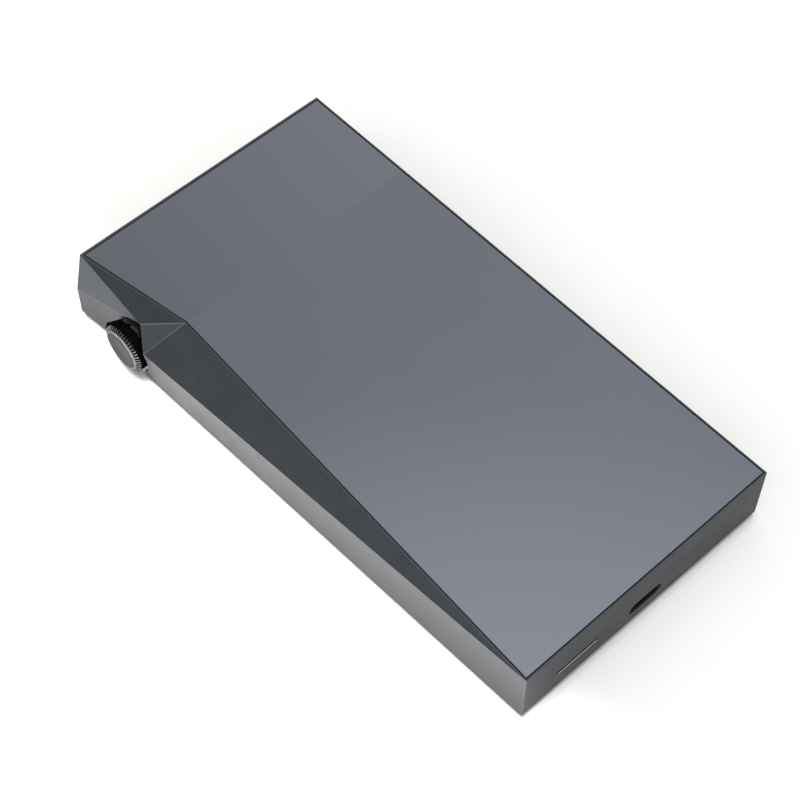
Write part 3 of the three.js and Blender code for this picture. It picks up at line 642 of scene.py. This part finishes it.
def make_wheel():
    face_x = WHEEL_LOW.x
    back_x = WHEEL_HIGH.x
    bevel_x = face_x + RIM_FALL
    bevel_radius = WHEEL_RADIUS - BEVEL
    pocket_radius = CAP_RADIUS + 0.10 * MM
    bore = 1.6 * MM
    # x, crest radius, depth of the valleys, and the look of the band that leads to the next ring
    stations = [
        (face_x + 1.1 * MM, bore, 0, KNURL),
        (face_x + 0.55 * MM, bore + 0.1 * MM, 0, KNURL),
        (face_x + 0.55 * MM, pocket_radius, 0, KNURL),
        (face_x + 0.03 * MM, pocket_radius, 0, RIM),
        (face_x, pocket_radius + 0.03 * MM, 0, RIM),
        (bevel_x - 0.02 * MM, bevel_radius - 0.12 * MM, 0, RIM),
        (bevel_x, bevel_radius, 0.14 * MM, KNURL),
        (bevel_x + 0.06 * MM, bevel_radius + 0.06 * MM, TOOTH_DEPTH * 0.8, KNURL),
        (bevel_x + BEVEL - 0.03 * MM, WHEEL_RADIUS - 0.03 * MM, TOOTH_DEPTH, KNURL),
        # From behind the bevel back to the wheel's back, the knurling gets painted shade, where it
        # sits in the gap.
        (bevel_x + BEVEL + 0.08 * MM, WHEEL_RADIUS, TOOTH_DEPTH, PAINTED_SHADE_BAND),
        (back_x - 0.40 * MM, WHEEL_RADIUS, TOOTH_DEPTH, PAINTED_SHADE_BAND),
        (back_x - 0.10 * MM, WHEEL_RADIUS - 0.28 * MM, TOOTH_DEPTH * 0.6, PAINTED_SHADE_BAND),
        (back_x, WHEEL_RADIUS - 0.7 * MM, 0, PAINTED_SHADE_BAND),
        (back_x, bore, 0, KNURL),
    ]
    surface = bmesh.new()
    rings = [toothed_ring(surface, *station[:3]) for station in stations]
    for first, second, station in zip(rings, rings[1:] + rings[:1], stations):
        bridge(surface, first, second, station[3])
    piece(
        "knurled_wheel",
        surface,
        "wheel",
        [LOOKS["wheel_aluminium"], RIM_EDGE, PAINTED_SHADE_BLACK],
        ["volume_wheel"],
        TURNED_SHARP_ABOVE,
    )


def make_cap():
    """The turned disc in the wheel's face, with a dimple in the middle and a fine groove."""
    front = CAP_LOW.x
    back = CAP_HIGH.x
    sunk = front + 0.03 * MM
    steps = 96
    # x and radius, from the middle of the front to the middle of the back
    profile = [
        (sunk, 0.5 * MM),
        (front, 0.56 * MM),
        (front, 3.55 * MM),
        (sunk, 3.6 * MM),
        (sunk, 3.75 * MM),
        (front, 3.8 * MM),
        (front, CAP_RADIUS - 0.12 * MM),
        (front + 0.04 * MM, CAP_RADIUS - 0.03 * MM),
        (front + 0.12 * MM, CAP_RADIUS),
        (back, CAP_RADIUS),
    ]
    surface = bmesh.new()
    rings = [
        [surface.verts.new(about_wheel(x, radius, step / steps)) for step in range(steps)]
        for x, radius in profile
    ]
    for first, second in zip(rings, rings[1:]):
        bridge(surface, first, second)
    for x, points in ((sunk, rings[0]), (back, rings[-1])):
        tip = surface.verts.new((x, WHEEL_MID.y, WHEEL_MID.z))
        for i in range(steps):
            surface.faces.new((tip, points[i], points[(i + 1) % steps]))
    looks = [LOOKS["wheel_face"]]
    piece("turned_cap", surface, "wheel", looks, ["wheel_cap"], TURNED_SHARP_ABOVE)


# ---- keys, sockets and ports --------------------------------------------------------


def make_keys():
    for name in ("previous", "play", "next", "power"):
        surface = cad_surface(f"{name}_button")
        soften(surface, anywhere, 0.2 * MM, steps=3, least_turn=30)
        piece(
            f"{name}_key_cap",
            surface,
            f"{name}_key",
            [LOOKS["key_aluminium"]],
            [f"{name}_button"],
        )


def socket_ring(node):
    """A turned ring with a rounded lip and a countersunk mouth, about an axis along Y."""
    low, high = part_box(node)
    centre = middle(node)
    outer = (high.x - low.x) / 2
    points = [v.co - centre for v in frame["nodes"][node].data.vertices]
    bore = min(math.hypot(point.x, point.z) for point in points)
    front = high.y
    # y and radius, once round the section
    profile = [
        (low.y, bore),
        (front - 0.55 * MM, bore),
        (front - 0.12 * MM, bore + 0.42 * MM),
        (front - 0.02 * MM, bore + 0.55 * MM),
        (front, bore + 0.68 * MM),
        (front, outer - 0.22 * MM),
        (front - 0.06 * MM, outer - 0.08 * MM),
        (front - 0.2 * MM, outer),
        (low.y, outer),
    ]
    steps = 72
    surface = bmesh.new()
    rings = []
    for y, radius in profile:
        points = []
        for step in range(steps):
            angle = 2 * math.pi * step / steps
            at = (centre.x + radius * math.cos(angle), y, centre.z + radius * math.sin(angle))
            points.append(surface.verts.new(at))
        rings.append(points)
    for first, second in zip(rings, rings[1:] + rings[:1]):
        bridge(surface, first, second)
    looks = [LOOKS["gilt_brass"]]
    piece(f"{node}_turned", surface, CASE, looks, [node], TURNED_SHARP_ABOVE)


def socket_contacts(node, bore):
    """Sprung contacts that stand into a headphone socket's bore at four depths."""
    low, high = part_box(node)
    centre = middle(node)
    half_width = 0.4 * MM
    thickness = 0.1 * MM
    # How far along and how far out from the bore the spring's bends lie, in millimetres.
    bends = ((-0.9, -0.02), (-0.3, -0.42), (0, -0.50), (0.3, -0.42), (0.9, -0.02))
    surface = bmesh.new()
    for level, share in enumerate((0.2, 0.4, 0.6, 0.78)):
        angle = math.pi / 4 + level * math.pi / 2
        out = Vector((math.cos(angle), 0, math.sin(angle)))
        side = Vector((-math.sin(angle), 0, math.cos(angle)))
        y = high.y - share * (high.y - low.y)
        strips = []
        for shift, depth in bends:
            base = Vector((centre.x, y + shift * MM, centre.z)) + out * (bore + depth * MM)
            near = (base - side * half_width, base + side * half_width)
            far = (near[1] + out * thickness, near[0] + out * thickness)
            strips.append([surface.verts.new(corner) for corner in (*near, *far)])
        for first, second in zip(strips, strips[1:]):
            bridge(surface, first, second)
        surface.faces.new(strips[0])
        surface.faces.new(reversed(strips[-1]))
    piece(f"{node}_contacts", surface, CASE, [LOOKS["gilt_brass"]])


def make_sockets():
    for name, bore in (("jack_3_5", 1.85), ("jack_2_5", 1.35), ("jack_4_4", 2.3)):
        socket_ring(f"{name}_ring")
        socket_contacts(f"{name}_socket", bore * MM)


def bar(surface, low, high):
    """Adds a contact that lies along Y: six-sided, its upper edges and its front end cut back."""
    edge = (high[2] - low[2]) * 0.4
    ends = []
    for y, back in ((low[1], edge), (low[1] + 3 * edge, 0), (high[1], 0)):
        top = high[2] - back
        section = (
            (low[0], low[2]),
            (high[0], low[2]),
            (high[0], top - edge),
            (high[0] - edge, top),
            (low[0] + edge, top),
            (low[0], top - edge),
        )
        ends.append([surface.verts.new((x, y, z)) for x, z in section])
    for first, second in zip(ends, ends[1:]):
        bridge(surface, first, second)
    surface.faces.new(ends[0])
    surface.faces.new(reversed(ends[-1]))


def make_port():
    shell = cad_surface("usb_shell")
    soften(shell, anywhere, 0.08 * MM, least_turn=40)
    piece("port_shell", shell, CASE, [LOOKS["dark_steel"]], ["usb_shell"])
    tongue = cad_surface("usb_tongue")
    soften(tongue, anywhere, 0.12 * MM, least_turn=40)
    piece("port_tongue", tongue, CASE, [LOOKS["black_plastic"]], ["usb_tongue"])
    low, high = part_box("usb_tongue")
    contacts = bmesh.new()
    count = 12
    pitch = 0.5 * MM
    half_width = 0.13 * MM
    start, stop = low.y + 0.35 * MM, high.y - 0.6 * MM
    for side_z, lift in ((high.z, 1), (low.z, -1)):
        bottom, top = sorted((side_z - lift * 0.02 * MM, side_z + lift * 0.03 * MM))
        for i in range(count):
            x = (low.x + high.x) / 2 + (i - (count - 1) / 2) * pitch
            bar(contacts, (x - half_width, start, bottom), (x + half_width, stop, top))
    piece("port_contacts", contacts, CASE, [LOOKS["gilt_brass"]])


make_case()
make_glasses()
make_wheel()
make_cap()
make_keys()
make_sockets()
make_port()

# ---- floor, light and camera --------------------------------------------------------

FLOOR_SIZE = 3.0
# Brightness of the tent by height above the horizon, from the wheel's side to the keys' side, and
# how much it falls off towards the socket end.
SKY_RISE = ((0.0, 0.75), (0.35, 0.85), (0.7, 1.0), (1.0, 1.0))
SKY_ACROSS = (
    (0.0, 1.9),
    (0.2, 1.75),
    (0.29, 1.1),
    (0.41, 0.84),
    (0.5, 0.78),
    (0.65, 0.88),
    (0.745, 0.99),
    (1.0, 1.3),
)
SKY_ALONG = 0.16
SKY_LEVEL = 0.86
# A brighter patch overhead: where it is in degrees, and the cosines where it starts and is whole.
OVERHEAD = {"azimuth": 40, "elevation": 74, "edge": 0.950, "middle": 0.996, "level": 0.8}
# Lamps on the table beside the wheel: name, place along Y and length in metres, power in watts.
TABLE_LAMPS = (("table_by_the_side", -0.045, 0.2, 0.7), ("table_by_the_wing", 0.093, 0.07, 0.14))


def make_floor():
    surface = bmesh.new()
    bmesh.ops.create_grid(surface, x_segments=8, y_segments=8, size=FLOOR_SIZE / 2)
    mesh = bpy.data.meshes.new("floor")
    surface.to_mesh(mesh)
    surface.free()
    made = Recipe("white_paper")
    cloud = made.noise(14, 2)
    made.colour(made.ramp(cloud, (0.3, (0.675, 0.675, 0.665)), (0.7, (0.69, 0.69, 0.68))))
    made.rough(0.9)
    made.bump(made.noise(900, 3), 0.01 * MM)
    mesh.materials.append(made.material)
    floor = bpy.data.objects.new("floor", mesh)
    bpy.context.scene.collection.objects.link(floor)
    return floor


def make_sky():
    world = bpy.data.worlds.new("soft_tent")
    made = Nodes(world, "Generated")
    light = made.add("ShaderNodeBackground")
    output = made.add("ShaderNodeOutputWorld")
    made.link(light.outputs["Background"], output.inputs["Surface"])
    rise = made.ramp(made.along("Z"), *((at, (level,) * 3) for at, level in SKY_RISE))
    # A ramp's colours stop at one, so the levels across are halved in it and doubled after it.
    side = made.fit(made.along("X"), -1, 1, 0, 1)
    across = made.ramp(side, *((at, (level / 2,) * 3) for at, level in SKY_ACROSS))
    turn = math.radians(OVERHEAD["azimuth"])
    lift = math.radians(OVERHEAD["elevation"])
    towards = (math.cos(turn) * math.cos(lift), math.sin(turn) * math.cos(lift), math.sin(lift))
    facing = made.add("ShaderNodeVectorMath", operation="DOT_PRODUCT")
    made.link(made.place, facing.inputs[0])
    facing.inputs[1].default_value = towards
    edge, whole = OVERHEAD["edge"], OVERHEAD["middle"]
    patch = made.fit(facing.outputs["Value"], edge, whole, 0, OVERHEAD["level"])
    along = made.fit(made.along("Y"), -1, 1, 1 + SKY_ALONG, 1 - SKY_ALONG)
    both = made.math("MULTIPLY", made.math("MULTIPLY", rise, across), 2)
    tent = made.math("MULTIPLY", both, along)
    strength = made.math("MULTIPLY", made.math("ADD", tent, patch), SKY_LEVEL)
    made.link((1.0, 0.998, 0.99, 1), light.inputs["Color"])
    made.link(strength, light.inputs["Strength"])
    bpy.context.scene.world = world


def lamp_over(kind, name, place, lit, **settings):
    """A lamp that shines straight down on one thing only and that the camera doesn't see."""
    data = bpy.data.lights.new(name, kind)
    for setting, value in settings.items():
        setattr(data, setting, value)
    lamp = bpy.data.objects.new(name, data)
    lamp.location = place
    lamp.visible_camera = False
    bpy.context.scene.collection.objects.link(lamp)
    receivers = bpy.data.collections.new(f"{name}_receivers")
    receivers.objects.link(lit)
    lamp.light_linking.receiver_collection = receivers


CAMERA = {
    "aim": (-1.57 * MM, -1.9 * MM, 8.75 * MM),
    "azimuth": -43.17,
    "elevation": 56.22,
    "distance": 411.6 * MM,
    "roll": 0.65,
    "lens": 85.43,
}


def make_camera():
    data = bpy.data.cameras.new("camera")
    data.lens = CAMERA["lens"]
    data.sensor_width = 36
    data.clip_start = 0.01
    camera = bpy.data.objects.new("camera", data)
    turn = math.radians(CAMERA["azimuth"])
    rise = math.radians(CAMERA["elevation"])
    level_back = Vector((math.sin(turn), -math.cos(turn), 0))
    back = level_back * math.cos(rise) + Vector((0, 0, math.sin(rise)))
    camera.location = Vector(CAMERA["aim"]) + back * CAMERA["distance"]
    level = (-back).to_track_quat("-Z", "Y")
    camera.rotation_mode = "QUATERNION"
    camera.rotation_quaternion = level @ Quaternion((0, 0, 1), math.radians(CAMERA["roll"]))
    bpy.context.scene.collection.objects.link(camera)
    bpy.context.scene.camera = camera


floor = make_floor()
make_sky()
lamp_over("SUN", "floor_fill", (0, 0, 1), floor, energy=1.9, angle=math.radians(12))
for name, y, length, power in TABLE_LAMPS:
    lamp_over(
        "AREA",
        name,
        (-0.124, y, 0.06),
        floor,
        shape="RECTANGLE",
        size=0.17,
        size_y=length,
        spread=math.radians(50),
        color=(1, 0.955, 0.925),
        energy=power,
    )
make_camera()
bpy.context.scene.view_settings.view_transform = "Standard"
